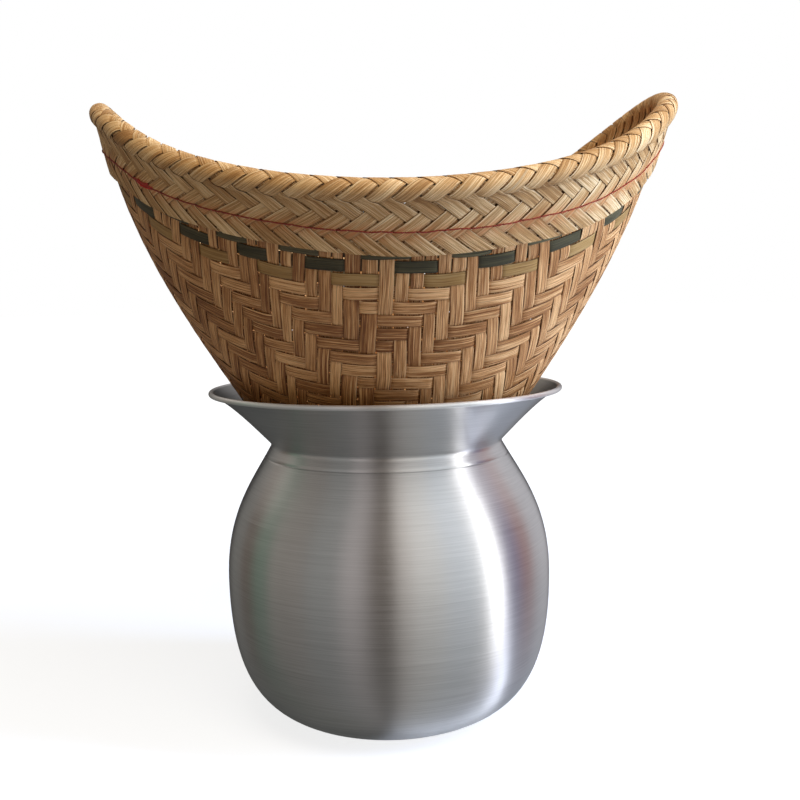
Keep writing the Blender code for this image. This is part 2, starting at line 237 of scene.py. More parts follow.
panels = surround.mix(panels, UPPER_LEFT_TINT, above * ((degrees * -1.0 - 97.0) * 0.08).held())
panels = surround.mix(panels, UPPER_RIGHT_TINT, above * ((degrees - 82.0) * 0.1).held() * 0.6)
low_right = (z * -5.0 - 1.2).held() * ((degrees - 88.0) * 0.12).held()
low_panels = surround.mix(low_panels, LOW_RIGHT_TINT, low_right * 0.85)
panels = surround.mix(panels, low_panels, below)
ripple = surround.noise(surround.place(heading * 7.0, z * 0.5, 0.0), 1.0, 3.0, 0.6)
panels = surround.mix(panels, BLACK, ((ripple - 0.45) * 1.6).held() * 0.5)
turned_low = (z * -1.0 - WINDOW_TURNS_BELOW).held() * WINDOW_TURN
across_window = abs(degrees - abs(z) * WINDOW_FAN + z * WINDOW_SLANT - turned_low - WINDOW_HEADING)
window = ((1.25 - across_window * (1.0 / WINDOW_HALF)) * 4.0).held() * (z < WINDOW_TOP)
open_light = surround.mix(WARM_LIGHT, WHITE, seen)
surround.feed(world.node_tree.nodes["Background"].inputs["Color"], surround.mix(open_light, panels, shine))
surround.feed(world.node_tree.nodes["Background"].inputs["Strength"],
              SURROUND_LIGHT + seen * (1.0 - SURROUND_LIGHT)
              + shine * (above * ((degrees + 22.0) * 0.06).held() * 0.24 + deep * 0.25
                         + window * (2.7 + (z * -2.0).held() * 4.0)))


def deselect():
    bpy.ops.object.select_all(action="DESELECT")


def around(azimuth, distance, height):
    """A place seen from the pot at an angle from the camera's side, positive to the right."""
    turn = math.radians(azimuth) - CAMERA_SIDE
    return (distance * math.sin(turn), -distance * math.cos(turn), height)


def add_lamp(name, place, target, size, power, colour):
    lamp = bpy.data.lights.new(name, "AREA")
    lamp.shape = "RECTANGLE"
    lamp.size, lamp.size_y = size
    lamp.energy = power
    lamp.color = colour
    made = bpy.data.objects.new(name, lamp)
    bpy.context.scene.collection.objects.link(made)
    made.location = place
    made.rotation_euler = (Vector(target) - Vector(place)).to_track_quat("-Z", "Y").to_euler()
    made.visible_glossy = False


add_lamp("window light", around(78, 1.27, 0.62), (0.0, 0.0, 0.22), (0.45, 1.2), 25.0, (0.94, 1.34, 2.25))
add_lamp("soft light", around(15, 0.75, 1.45), (0.0, 0.0, 0.25), (0.9, 0.7), 11.5, (1.0, 0.97, 0.91))

FLOOR_SHADE = 0.35
FLOOR_GLOW_NEAR = 0.78
FLOOR_RADIUS = 12.0
FLOOR_FADE_START = 0.40
FLOOR_FADE = 0.60

deselect()
bpy.ops.mesh.primitive_circle_add(vertices=64, radius=FLOOR_RADIUS, fill_type="NGON", location=(0, 0, 0))
floor = bpy.context.object
floor.name = "floor"
floor.visible_glossy = False
floor_finish, recipe = new_finish("white floor")
seen = (recipe.node("ShaderNodeLightPath", output="Is Camera Ray")
        + recipe.node("ShaderNodeLightPath", output="Is Transmission Ray"))
x, y, z = recipe.parts(recipe.node("ShaderNodeTexCoord", output="Object"))
far = (((x * x + y * y) ** 0.5 - FLOOR_FADE_START) / FLOOR_FADE).held()
glow = recipe.mix((FLOOR_GLOW_NEAR,) * 3, WHITE, far)
recipe.surface({"Base Color": (FLOOR_SHADE,) * 3, "Roughness": 0.9, "Specular IOR Level": 0.0,
                "Emission Color": recipe.mix(BLACK, glow, seen), "Emission Strength": 1.0})
floor.data.materials.append(floor_finish)


# The pot: one disc of aluminium, spun over a former into a bellied pot with a narrow neck and an
# open flare, its edge rolled into a bead. The spinning leaves fine rings all over it, inside and out.
# The bead's colour is painted near white as a painted highlight, and the bead is a little rougher. The
# inside is painted darker than the outside as painted shade.

SHEET = 0.0011
BASE_RING_RADIUS = 0.053
BASE_RING_WIDTH = 0.006
BASE_DISH = 0.0012
BELLY_RADIUS = 0.1023
BELLY_HEIGHT = 0.090
NECK_RADIUS = 0.0724
NECK_HEIGHT = 0.1738
NECK_FILLET = 0.0022
FLARE_RISE = 0.0330
RIM_LEVEL = NECK_HEIGHT + FLARE_RISE
RIM_RADIUS = 0.1105
RIM_BEAD = 0.0015
BEAD_HIGHLIGHT_WIDTH = 0.0034
BEAD_HIGHLIGHT_DEPTH = 0.0024
TURNED_LINE_BELOW_NECK = 0.0075
TURNED_LINE_DEPTH = 0.0003
POT_TURNS = 180
CURVE_STEPS = 24
FLARE_STEPS = 16
FILLET_STEPS = 6
SMOOTH_ANGLE = math.radians(50)


def curve_points(start, pull_start, pull_end, end, steps):
    """Points of a cubic curve, without its last one."""
    points = []
    for k in range(steps):
        t = k / steps
        s = 1 - t
        points.append(s ** 3 * Vector(start) + 3 * s * s * t * Vector(pull_start)
                      + 3 * s * t * t * Vector(pull_end) + t ** 3 * Vector(end))
    return points


def pot_outline():
    """Outer profile of the pot as (radius, height), from the base's middle to just under the rim bead."""
    ring_inside = BASE_RING_RADIUS - BASE_RING_WIDTH
    neck = Vector((NECK_RADIUS, NECK_HEIGHT))
    belly = Vector((BELLY_RADIUS, BELLY_HEIGHT))
    lip = Vector((RIM_RADIUS - RIM_BEAD, RIM_LEVEL))
    bowl_run = BELLY_RADIUS - BASE_RING_RADIUS
    shoulder_run = BELLY_RADIUS - NECK_RADIUS
    shoulder_rise = NECK_HEIGHT - BELLY_HEIGHT
    flare_run = lip.x - NECK_RADIUS
    base = [Vector((0.0, BASE_DISH)), Vector((ring_inside - 2.5 * BASE_DISH, BASE_DISH)),
            Vector((ring_inside, 0.0))]
    bowl = curve_points((BASE_RING_RADIUS, 0.0), (BASE_RING_RADIUS + 0.67 * bowl_run, 0.07 * BELLY_HEIGHT),
                        (BELLY_RADIUS, 0.33 * BELLY_HEIGHT), belly, CURVE_STEPS)
    shoulder_end = (NECK_RADIUS + 0.42 * shoulder_run, NECK_HEIGHT - 0.273 * shoulder_rise)
    shoulder = curve_points(belly, (BELLY_RADIUS, BELLY_HEIGHT + 0.50 * shoulder_rise),
                            shoulder_end, neck, CURVE_STEPS)
    flare = curve_points(neck, (NECK_RADIUS + 0.317 * flare_run, NECK_HEIGHT + 0.37 * FLARE_RISE),
                         (NECK_RADIUS + 0.70 * flare_run, NECK_HEIGHT + 0.84 * FLARE_RISE),
                         lip, FLARE_STEPS)
    into_neck = (Vector(shoulder_end) - neck).normalized()
    out_of_neck = (flare[1] - neck).normalized()
    below = [point for point in shoulder if (point - neck).length > NECK_FILLET]
    above = [point for point in flare[1:] if (point - neck).length > NECK_FILLET]
    fillet = curve_points(neck + into_neck * NECK_FILLET, neck + into_neck * 0.4 * NECK_FILLET,
                          neck + out_of_neck * 0.4 * NECK_FILLET, neck + out_of_neck * NECK_FILLET,
                          FILLET_STEPS)
    return base + bowl + below + fillet + above


def pot_profile():
    """The pot's whole closed section: up the outside, round the bead and down the inside."""
    outline = pot_outline()
    line_height = NECK_HEIGHT - TURNED_LINE_BELOW_NECK
    outside = []
    for before, after in zip(outline, outline[1:]):
        outside.append(before)
        if before.y < line_height <= after.y:
            along = (after - before).normalized()
            middle = before.lerp(after, (line_height - before.y) / (after.y - before.y))
            inward = Vector((-along.y, along.x))
            for shift, depth in ((-2.0, 0.0), (-1.0, 0.7), (0.0, 1.0), (1.0, 0.7), (2.0, 0.0)):
                outside.append(middle + (along * shift + inward * depth) * TURNED_LINE_DEPTH)
    outside.append(outline[-1])
    centre = Vector((RIM_RADIUS - RIM_BEAD, RIM_LEVEL))
    bead = [centre + RIM_BEAD * Vector((math.cos(math.radians(a)), math.sin(math.radians(a))))
            for a in range(-80, 131, 21)]
    inside = []
    for k, point in enumerate(outline):
        before = outline[max(k - 1, 0)]
        after = outline[min(k + 1, len(outline) - 1)]
        along = (after - before).normalized()
        if point.x < BASE_RING_RADIUS:
            along = Vector((1.0, 0.0))
        inside.append(point + SHEET * Vector((-along.y, along.x)))
    return outside + bead + inside[::-1]


profile = pot_profile()
deselect()
bpy.ops.mesh.primitive_plane_add(size=0.001, location=(0, 0, 0))
pot = bpy.context.object
pot.name = "spun_pot"
bpy.ops.object.mode_set(mode="EDIT")
bpy.ops.mesh.select_all(action="SELECT")
bpy.ops.mesh.merge(type="CENTER")
bpy.ops.transform.translate(value=(profile[0].x, 0.0, profile[0].y))
for before, after in zip(profile, profile[1:]):
    step = after - before
    bpy.ops.mesh.extrude_region_move(TRANSFORM_OT_translate={"value": (step.x, 0.0, step.y)})
bpy.ops.mesh.select_all(action="SELECT")
bpy.ops.mesh.spin(steps=POT_TURNS, angle=2 * math.pi, center=(0, 0, 0), axis=(0, 0, 1))
bpy.ops.mesh.select_all(action="SELECT")
bpy.ops.mesh.remove_doubles(threshold=1e-6)
bpy.ops.mesh.normals_make_consistent(inside=False)
bpy.ops.object.mode_set(mode="OBJECT")
bpy.ops.object.shade_smooth_by_angle(angle=SMOOTH_ANGLE)

pot_finish, recipe = new_finish("spun aluminium finish")
x, y, z = recipe.parts(recipe.node("ShaderNodeTexCoord", output="Object"))
radius = (x * x + y * y) ** 0.5
turned = recipe.place(radius * 1000.0, 0.0, z * 1000.0)
rings = recipe.noise(turned, 1.6, 3.0, 0.7)
broad_rings = recipe.noise(turned, 0.22, 2.0, 0.6)
heading = recipe.node("ShaderNodeMath", {"operation": "ARCTAN2"}, {0: y, 1: x})
broken = recipe.noise(recipe.place(heading * 2.2, radius * 1500.0, z * 1500.0), 1.0, 2.0, 0.6)
cloud = recipe.noise(recipe.place(x, y, z), 9.0, 3.0, 0.6)
shade = 0.20 * broad_rings + 1.10 * broken + 0.30 * cloud - 0.28
spun = recipe.mix((0.50, 0.50, 0.50), (0.74, 0.74, 0.745), shade.held())
# Painted highlight: the base colour goes near white on the bead round the rim's top.
bead = ((radius - RIM_RADIUS + BEAD_HIGHLIGHT_WIDTH) * 1200.0).held() * (z > RIM_LEVEL - BEAD_HIGHLIGHT_DEPTH)
faces_x, faces_y, _ = recipe.parts(recipe.node("ShaderNodeNewGeometry", output="Normal"))
# Painted shade: the base colour goes dark grey on faces that point in towards the axis, inside the pot.
inside = ((faces_x * x + faces_y * y) / radius * -4.0).held()
bead_highlight = recipe.mix(spun, (0.96, 0.96, 0.96), bead)
recipe.surface({
    "Base Color": recipe.mix(bead_highlight, (0.30, 0.30, 0.29), inside * (1.0 - bead)),
    "Metallic": 1.0,
    "Roughness": 0.22 + 0.18 * broken + 0.05 * cloud + 0.12 * bead,
    "Anisotropic": 0.80,
    "Anisotropic Rotation": 0.25,
    "Normal": recipe.bump(rings * 0.6 + broken * 0.4, 0.16, 0.0003),
})
pot.data.materials.append(pot_finish)
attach(pot, "pot")
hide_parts("pot")


# The mat: split bamboo strips of about 7 mm, woven three over and three under into one flat mat that
# is closed into a cone. Half of the strips pass under the front as slings and half under the back.

HALF_ANGLE = math.radians(33.6)
TIP_HEIGHT = 0.06817
MAT_SIDE = 0.2956
MAT_CORNER = 0.1400
BEND_START = 0.150
BEND_LENGTH = 0.200
HORN_UPRIGHT = 0.445
FRONT_UPRIGHT = 0.617
FRONT_FLARE = 0.787
HORN_LEAN = 0.0133
AXIS_LEAN = 0.0140
FOLD_LENGTH = 0.050
FOLD_BLEND_END = 0.115
WEAVE_SWING = 0.014

# The hand-made weave isn't even. Round the basket, at degrees from its front and positive to the right,
# it crowds sideways by these radians, and on the right it sags by these metres.
CROWDED_AT = (-90, -75, -55, -47, -38, -30, -20, 0, 12, 20, 32, 42, 55, 65, 80, 90)
CROWDED_BY = (0, 0.045, 0.063, 0.055, 0.036, 0.006, 0, 0,
              -0.012, -0.022, -0.018, -0.006, -0.014, -0.018, -0.004, 0)
SAGS_AT = (0, 16, 35, 57, 80, 110, 150)
SAGS_BY = (0, 0.0015, 0.0027, 0.0032, 0.0045, 0.003, 0)


def cone_points(rho, phi):
    """The middle of the wall, at distances rho up the mat from the cone's tip and angles phi round it."""
    straight = np.minimum(rho, BEND_START)
    radius = straight * math.sin(HALF_ANGLE)
    height = straight * math.cos(HALF_ANGLE)
    step = (rho - straight) / 16
    horn_share = np.sin(phi) ** 2
    for k in range(16):
        t = (k + 0.5) * step / BEND_LENGTH
        at_horn = HALF_ANGLE - HORN_UPRIGHT * t * t
        at_front = HALF_ANGLE - FRONT_UPRIGHT * t + FRONT_FLARE * t * t
        lean = at_horn * horn_share + at_front * (1 - horn_share)
        radius = radius + step * np.sin(lean)
        height = height + step * np.cos(lean)
    across = radius * np.sin(phi)
    height = height + TIP_HEIGHT
    share = np.clip((rho - BEND_START) / (MAT_SIDE - BEND_START), 0.0, 1.0)
    leaned = across + AXIS_LEAN * (height - NECK_HEIGHT)
    return np.stack([leaned, -radius * np.cos(phi), height + HORN_LEAN * across * share], axis=-1)


def cone_places(rho, phi, out):
    """Places out metres outside the wall's middle, above the folded bottom."""
    small = 1e-4
    point = cone_points(rho, phi)
    normal = np.cross(cone_points(rho, phi + small) - point, cone_points(rho + small, phi) - point)
    return point + out[..., None] * normal / np.linalg.norm(normal, axis=-1)[..., None]


def wall_places(rho, phi, out):
    """Places on or near the wall anywhere from its bottom fold up to its rim."""
    phi = np.mod(phi + math.pi, 2 * math.pi) - math.pi
    above = cone_places(np.maximum(rho, FOLD_BLEND_END), phi, out)
    theta = 0.5 * np.abs(phi)
    spread = np.sin(theta) + np.cos(theta)
    fold_rho = FOLD_LENGTH / math.sqrt(2) / spread
    slant = FOLD_BLEND_END - 0.5 * FOLD_LENGTH
    drop = math.sqrt(slant ** 2 - (FOLD_BLEND_END * math.sin(HALF_ANGLE)) ** 2)
    fold_height = TIP_HEIGHT + FOLD_BLEND_END * math.cos(HALF_ANGLE) - drop
    along = (0.5 * FOLD_LENGTH + out) * (2 * np.sin(theta) / spread - 1)
    fold_lean = np.full_like(along, AXIS_LEAN * (fold_height - NECK_HEIGHT))
    start = np.stack([fold_lean, along, fold_height - 1.2 * out], axis=-1)
    blend_end = np.full_like(rho, FOLD_BLEND_END)
    end = cone_places(blend_end, phi, out)
    start_pull = end - start
    end_pull = (cone_places(blend_end + 0.001, phi, out) - end) * 1000
    end_pull = end_pull * np.linalg.norm(start_pull, axis=-1)[..., None]
    t = np.clip((rho - fold_rho) / (FOLD_BLEND_END - fold_rho), 0.0, 1.0)[..., None]
    low = start * (2 * t ** 3 - 3 * t ** 2 + 1) + start_pull * (t ** 3 - 2 * t ** 2 + t)
    low = low + end * (3 * t ** 2 - 2 * t ** 3) + end_pull * (t ** 3 - t ** 2)
    return np.where((rho < FOLD_BLEND_END)[..., None], low, above)


def mat_places(u, v, out):
    """Places of the woven mat. Front strips lie at one v, back strips at one u."""
    mat_angle = np.arctan2(u, v)
    phi = 2 * mat_angle
    for _ in range(8):
        phi = 2 * (mat_angle - WEAVE_SWING * np.sin(2 * phi))
    turned = np.degrees(np.mod(phi + math.pi, 2 * math.pi) - math.pi)
    slide = np.interp(turned, CROWDED_AT, CROWDED_BY)
    rho = np.hypot(u, v) * np.cos(mat_angle) / np.cos(mat_angle + 0.5 * slide)
    return wall_places(rho - np.interp(turned, SAGS_AT, SAGS_BY), phi + slide, out)


def depth_below_rim(u, v):
    """How far a place of the mat lies below the rim's top."""
    mat_angle = math.atan2(abs(u), abs(v))
    phi = 2 * mat_angle
    for _ in range(8):
        phi = 2 * (mat_angle - WEAVE_SWING * math.sin(2 * phi))
    rho = math.hypot(u, v)
    across, along = rho * math.sin(0.5 * phi), rho * math.cos(0.5 * phi)
    across, along = min(across, along), max(across, along)
    centre = MAT_SIDE - MAT_CORNER
    if across < centre:
        return MAT_SIDE - along
    return MAT_CORNER - math.hypot(across - centre, along - centre)


ROW_PITCH = 0.007663
COLUMN_PITCH = 0.00698
MIDDLE_EDGES = (-0.0355, -0.0295, -0.0207, -0.0120, -0.0035, 0.0040, 0.0120, 0.0192, 0.0269, 0.0355)
ROW_WIDTH = 0.0072
COLUMN_SHARE = 0.96
STRIP_THICKNESS = 0.00042
WEAVE_HEIGHT = 0.00042
FLOAT_SWELL = 0.0002
DIP = 0.0019
TUCKED_END = 0.014
STRIP_CLEAR = 0.016
SHORTEST_STEP = 0.0008
DIP_SHOULDER = 0.66
FOLD_REACH = FOLD_LENGTH / math.sqrt(2)
ROWS = range(0, 38)
COLUMNS = range(-40, 41)
OLIVE_ROW = 31
TOP_ROW = 32
DYED_ROWS = (OLIVE_ROW, TOP_ROW, TOP_ROW + 1)
BACK_DYED_COLUMN = 34
DYED_COLUMNS = (BACK_DYED_COLUMN, BACK_DYED_COLUMN + 1, BACK_DYED_COLUMN + 2)
MIRROR_COLUMN = -1


def row_place(row):
    return (row + 0.5) * ROW_PITCH


def column_edge(column):
    """Where a column starts. Columns are uneven at the front's middle, and wider from the dyed ones up."""
    reach = len(MIDDLE_EDGES) // 2
    if column <= -reach:
        return -column_edge(1 - column)
    if column <= reach:
        return MIDDLE_EDGES[column + reach - 1]
    if column <= BACK_DYED_COLUMN:
        return MIDDLE_EDGES[-1] + (column - reach) * COLUMN_PITCH
    return row_place(OLIVE_ROW) + (column - BACK_DYED_COLUMN - 0.5) * ROW_PITCH


def column_place(column):
    return 0.5 * (column_edge(column) + column_edge(column + 1))


def column_width(column):
    return COLUMN_SHARE * (column_edge(column + 1) - column_edge(column))


def front_strip_outside(row, column):
    """Whether the front strip of a row passes outside the back strip of a column."""
    place = column - MIRROR_COLUMN
    right = place >= 0
    place = place if right else -place - 1
    if row == TOP_ROW:
        return place % 6 in ((1, 2, 3) if right else (2, 3, 4))
    if row == TOP_ROW + 1:
        return place % 6 in ((5, 0, 1) if right else (4, 5, 0))
    return (TOP_ROW - row + place) % 6 in ((4, 5, 0) if right else (1, 2, 3))


def strip_stations(edges, sides, start, end):
    """Places along a strip and its height there: level on a float, and dipping where it changes sides."""
    stations = []
    for k, side in enumerate(sides):
        low, high = edges[k], edges[k + 1]
        turns_before = k > 0 and sides[k - 1] != side
        turns_after = k + 1 < len(sides) and sides[k + 1] != side
        if turns_before:
            stations += [(low, 0.0), (low + 0.5 * DIP, DIP_SHOULDER * side), (low + DIP, side)]
        else:
            stations.append((low, side * (1 + FLOAT_SWELL / WEAVE_HEIGHT)))
        swell = 1 + (0.6 if turns_before or turns_after else 1.0) * FLOAT_SWELL / WEAVE_HEIGHT
        stations.append((0.5 * (low + high), side * swell))
        if turns_after:
            stations += [(high - DIP, side), (high - 0.5 * DIP, DIP_SHOULDER * side)]
    inside = [(t, h) for t, h in stations if start + SHORTEST_STEP < t < end - SHORTEST_STEP]
    places = np.array([start] + [t for t, _ in inside] + [end])
    heights = np.array([inside[0][1]] + [h for _, h in inside] + [inside[-1][1]]) * WEAVE_HEIGHT
    return places, heights


STRIP_SECTION = [
    (-0.5, 0.0), (-0.485, 0.8), (-0.40, 1.0), (0.0, 1.1), (0.40, 1.0), (0.485, 0.8), (0.5, 0.0),
    (0.485, -0.8), (0.0, -1.0), (-0.485, -0.8)]


def ribbon(places, heights, line, width, lay, seed, thickness=STRIP_THICKNESS, section=STRIP_SECTION):
    """One strip: its rings of section points, laid by a function of (along, across, out)."""
    chance = random.Random(seed)
    tone = chance.random()
    phase, second_phase = chance.uniform(0, 6.3), chance.uniform(0, 6.3)
    wander = 0.00020 * np.sin(places * 95 + phase) + 0.00014 * np.sin(places * 230 + second_phase)
    widths = width * chance.uniform(0.93, 1.0) * (1 + 0.02 * np.sin(places * 60 + second_phase))
    lift = heights + 0.00004 * np.sin(places * 310 + phase)
    across = np.array([a for a, _ in section])
    rise = np.array([b for _, b in section]) * 0.5 * thickness
    along = np.repeat(places[:, None], len(section), axis=1)
    offset = widths[:, None] * across[None, :] + wander[:, None]
    points = lay(along, line + offset, lift[:, None] + rise[None, :])
    uv = np.stack([along, np.broadcast_to(across + 0.5, along.shape)], axis=-1)
    return points, uv, tone


def join_ribbons(name, ribbons):
    """One object of many closed ribbons, each with its own tone."""
    vertices, uvs, tones, faces = [], [], [], []
    count = 0
    for points, uv, tone in ribbons:
        rings, sides, _ = points.shape
        vertices.append(points.reshape(-1, 3))
        uvs.append(uv.reshape(-1, 2))
        tones.append(np.full(rings * sides, tone))
        grid = count + np.arange(rings * sides).reshape(rings, sides)
        turned = np.roll(grid, -1, axis=1)
        faces += np.stack([grid[:-1], turned[:-1], turned[1:], grid[1:]], axis=-1).reshape(-1, 4).tolist()
        faces += [grid[0, ::-1].tolist(), grid[-1].tolist()]
        count += rings * sides
    mesh = bpy.data.meshes.new(name)
    mesh.from_pydata(np.concatenate(vertices).tolist(), [], faces)
    corners = np.empty(len(mesh.loops), np.int32)
    mesh.loops.foreach_get("vertex_index", corners)
    layer = mesh.uv_layers.new(name="strip")
    layer.data.foreach_set("uv", np.concatenate(uvs)[corners].astype(np.float32).ravel())
    tone_layer = mesh.attributes.new("tone", "FLOAT", "POINT")
    tone_layer.data.foreach_set("value", np.concatenate(tones).astype(np.float32))
    made = bpy.data.objects.new(name, mesh)
    bpy.context.scene.collection.objects.link(made)
    deselect()
    made.select_set(True)
    bpy.context.view_layer.objects.active = made
    bpy.ops.object.mode_set(mode="EDIT")
    bpy.ops.mesh.select_all(action="SELECT")
    bpy.ops.mesh.normals_make_consistent(inside=False)
    bpy.ops.object.mode_set(mode="OBJECT")
    bpy.ops.object.shade_smooth_by_angle(angle=SMOOTH_ANGLE)
    return made


def lay_front(along, across, out):
    return mat_places(along, across, out)


def lay_back(along, across, out):
    return mat_places(across, along, out)


def rim_reach(fixed):
    """How far along itself a strip runs before its end is tucked up under the rim's band."""
    low, high = 0.0, MAT_SIDE
    for _ in range(40):
        middle = 0.5 * (low + high)
        low, high = (middle, high) if depth_below_rim(fixed, middle) > TUCKED_END else (low, middle)
    return low


column_edges = [column_edge(c) for c in range(COLUMNS[0], COLUMNS[-1] + 2)]
row_edges = [row * ROW_PITCH for row in range(-len(ROWS), len(ROWS) + 1)]
middle_edge = len(ROWS)


def front_sling(row):
    """A strip of one row, from its left end under the front to its right end."""
    line = row_place(row)
    reach = rim_reach(line)
    sides = [1 if front_strip_outside(row, c) else -1 for c in COLUMNS]
    places, heights = strip_stations(column_edges, sides, -reach, reach)
    return ribbon(places, heights, line, ROW_WIDTH, lay_front, 1000 + row)


def back_sling(column):
    """A strip of one column, from its top at the front left, under the back, to the front right."""
    line = column_place(column)
    reach = rim_reach(line)
    right = [-1 if front_strip_outside(r, column) else 1 for r in ROWS]
    left = [-1 if front_strip_outside(r, -column) else 1 for r in ROWS]
    places, heights = strip_stations(row_edges, left[::-1] + right, -reach, reach)
    return ribbon(places, heights, line, column_width(column), lay_back, 2000 + column)


def front_upright(column):
    """A short back strip at the middle of the front, from the bottom fold to the rim."""
    line = column_place(column)
    sides = [-1 if front_strip_outside(r, column) else 1 for r in ROWS]
    edges = row_edges[middle_edge:]
    places, heights = strip_stations(edges, sides, FOLD_REACH - abs(line), rim_reach(line))
    return ribbon(places, heights, line, column_width(column), lay_back, 3000 + column)


def back_upright(row, side):
    """A short front strip at the middle of the back, from the bottom fold to the rim."""
    line = side * row_place(row)
    counted = [c for c in COLUMNS if c > 0]
    sides = [1 if front_strip_outside(row, side * c) else -1 for c in counted]
    edges = column_edges[-len(counted) - 1:]
    places, heights = strip_stations(edges, sides, FOLD_REACH - abs(line), rim_reach(line))
    return ribbon(places, heights, line, ROW_WIDTH, lay_front, 4000 + row + 50 * side)


def bamboo_recipe(name, dark, middle, light, edge, contrast, roughness, variety=0.50, stain=None):
    """Split bamboo: fibres run along each strip, and no two strips have quite the same tone."""
    finish, nodes = new_finish(name)
    along, across, _ = nodes.parts(nodes.node("ShaderNodeUVMap", {"uv_map": "strip"}))
    tone = nodes.node("ShaderNodeAttribute", {"attribute_name": "tone"}, output="Fac")
    far = tone * 61.0
    groove = nodes.noise(nodes.place(along * 9.0, across * 7.0, far), 1.0, 3.0, 0.65)
    fibre = nodes.noise(nodes.place(along * 26.0, across * 14.0, far + 7.0), 1.0, 3.0, 0.65)
    fine = nodes.noise(nodes.place(along * 70.0, across * 34.0, far), 1.0, 2.0, 0.6)
    drift = nodes.noise(nodes.place(along * 22.0, across * 0.9, far), 1.0, 2.0, 0.5)
    pale = nodes.noise(nodes.place(along * 7.0, across * 30.0, far + 3.0), 1.0, 2.0, 0.5)
    lines = (groove - 0.5) * 1.1 + (fibre - 0.5) * 1.2 + (fine - 0.5) * 1.4
    shade = 0.48 + (tone - 0.5) * variety + (drift - 0.5) * 0.9 + lines * contrast
    body = nodes.mix(nodes.mix(dark, middle, (shade * 2.0).held()), light, (shade * 2.0 - 1.0).held())
    if stain:
        body = stain(nodes, body, along, across)
    # Painted shade: each strip darkens towards the edge colour at both long edges, where shade falls in the
    # gaps between strips. The dark splits along the fibres are the bamboo's own.
    rim = abs(across - 0.5) * 2.0
    shaded_edges = (rim ** 16.0) * 0.85
    split = ((groove - 0.59) * 9.0).held() * 0.55 + ((0.38 - fibre) * 12.0).held() * 0.4
    # Painted highlight: a pale line runs along one long edge of each strip, where light catches it.
    edge_highlight = ((across - 0.89) * 25.0).held() * ((0.985 - across) * 30.0).held()
    edge_highlight = edge_highlight * ((drift - 0.43) * 7.0).held()
    hairs = ((pale - 0.57) * 9.0).held() * ((drift - 0.40) * 5.0).held() * 0.7
    splits_and_shaded_edges = nodes.mix(body, edge, (shaded_edges + split).held())
    nodes.surface({
        "Base Color": nodes.mix(splits_and_shaded_edges, light, (edge_highlight * 0.7 + hairs).held()),
        "Roughness": (roughness + (fine - 0.5) * 0.2).held(),
        "Specular IOR Level": 0.25,
        "Normal": nodes.bump(groove * 0.5 + fibre * 0.3 + fine * 0.2, 0.6, 0.0004),
    })
    return finish


# The fourth colour of each bamboo finish is the painted shade along the strips' long edges.
woven_finish = bamboo_recipe(
    "split bamboo", (0.20, 0.066, 0.015), (0.49, 0.200, 0.057), (0.88, 0.47, 0.18),
    (0.07, 0.026, 0.009), 1.8, 0.56)
slings = [row for row in ROWS if row_place(row) >= FOLD_REACH and row not in DYED_ROWS]
slings = [row for row in slings if depth_below_rim(row_place(row), 0.0) > STRIP_CLEAR]
back_slings = [c for c in COLUMNS if column_place(c) >= FOLD_REACH and c not in DYED_COLUMNS]
back_slings = [c for c in back_slings if depth_below_rim(column_place(c), 0.0) > STRIP_CLEAR]
uprights = [c for c in COLUMNS if abs(column_place(c)) < FOLD_REACH]
back_uprights = [(row, side) for row in ROWS if row_place(row) < FOLD_REACH for side in (1, -1)]
mat_pieces = [
    join_ribbons("mat_front_slings", [front_sling(row) for row in slings]),
    join_ribbons("mat_back_slings", [back_sling(column) for column in back_slings]),
    join_ribbons("mat_front_uprights", [front_upright(column) for column in uprights]),
    join_ribbons("mat_back_uprights", [back_upright(row, side) for row, side in back_uprights]),
]
for piece in mat_pieces:
    piece.data.materials.append(woven_finish)
    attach(piece, "basket")
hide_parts("woven_wall")


# The dyed strips: two dark green rows and an olive one just under the rim, at front and back. They are
# strips of the same mat, dyed before weaving, and so they too pass over and under.

dyed_finish = bamboo_recipe(
    "dyed bamboo", (0.036, 0.028, 0.013), (0.085, 0.064, 0.025), (0.160, 0.118, 0.048),
    (0.012, 0.010, 0.006), 1.0, 0.48)
olive_finish = bamboo_recipe(
    "olive bamboo", (0.19, 0.080, 0.020), (0.35, 0.172, 0.043), (0.52, 0.29, 0.095),
    (0.05, 0.035, 0.012), 1.0, 0.48)
DYED_STRIPS = [
    ("olive_strip_front", front_sling(DYED_ROWS[0]), olive_finish, "olive_bamboo"),
    ("dark_strip_front_lower", front_sling(DYED_ROWS[1]), dyed_finish, "dyed_bamboo"),
    ("dark_strip_front_upper", front_sling(DYED_ROWS[2]), dyed_finish, "dyed_bamboo"),
    ("olive_strip_back", back_sling(DYED_COLUMNS[0]), olive_finish, "olive_bamboo"),
    ("dark_strip_back_lower", back_sling(DYED_COLUMNS[1]), dyed_finish, "dyed_bamboo"),
    ("dark_strip_back_upper", back_sling(DYED_COLUMNS[2]), dyed_finish, "dyed_bamboo"),
]
for node, strip, finish, slot in DYED_STRIPS:
    piece = join_ribbons("woven_" + node, [strip])
    piece.data.materials.append(finish)
    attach(piece, "basket")
    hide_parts(node)


# The hoops: two lengths of split cane that grip the mat's edge between them, inside the rim's roll.

hoop_finish, recipe = new_finish("split cane")
x, y, z = recipe.parts(recipe.node("ShaderNodeTexCoord", output="Object"))
grain = recipe.noise(recipe.place(x * 30.0, y * 30.0, z * 900.0), 1.0, 3.0, 0.6)
recipe.surface({
    "Base Color": recipe.mix((0.36, 0.22, 0.10), (0.62, 0.44, 0.24), grain),
    "Roughness": 0.45 + grain * 0.2,
    "Normal": recipe.bump(grain, 0.3, 0.0003),
})
for node in ("rim_hoop_outer", "rim_hoop_inner"):
    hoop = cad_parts[node]
    hoop.data.materials.clear()
    hoop.data.materials.append(hoop_finish)


# The rim band: a flat plait of paler strips, two over and two under on the bias, bent down over the
# hoops so that its rows run round the rim as a herringbone, and sewn through to its other side.

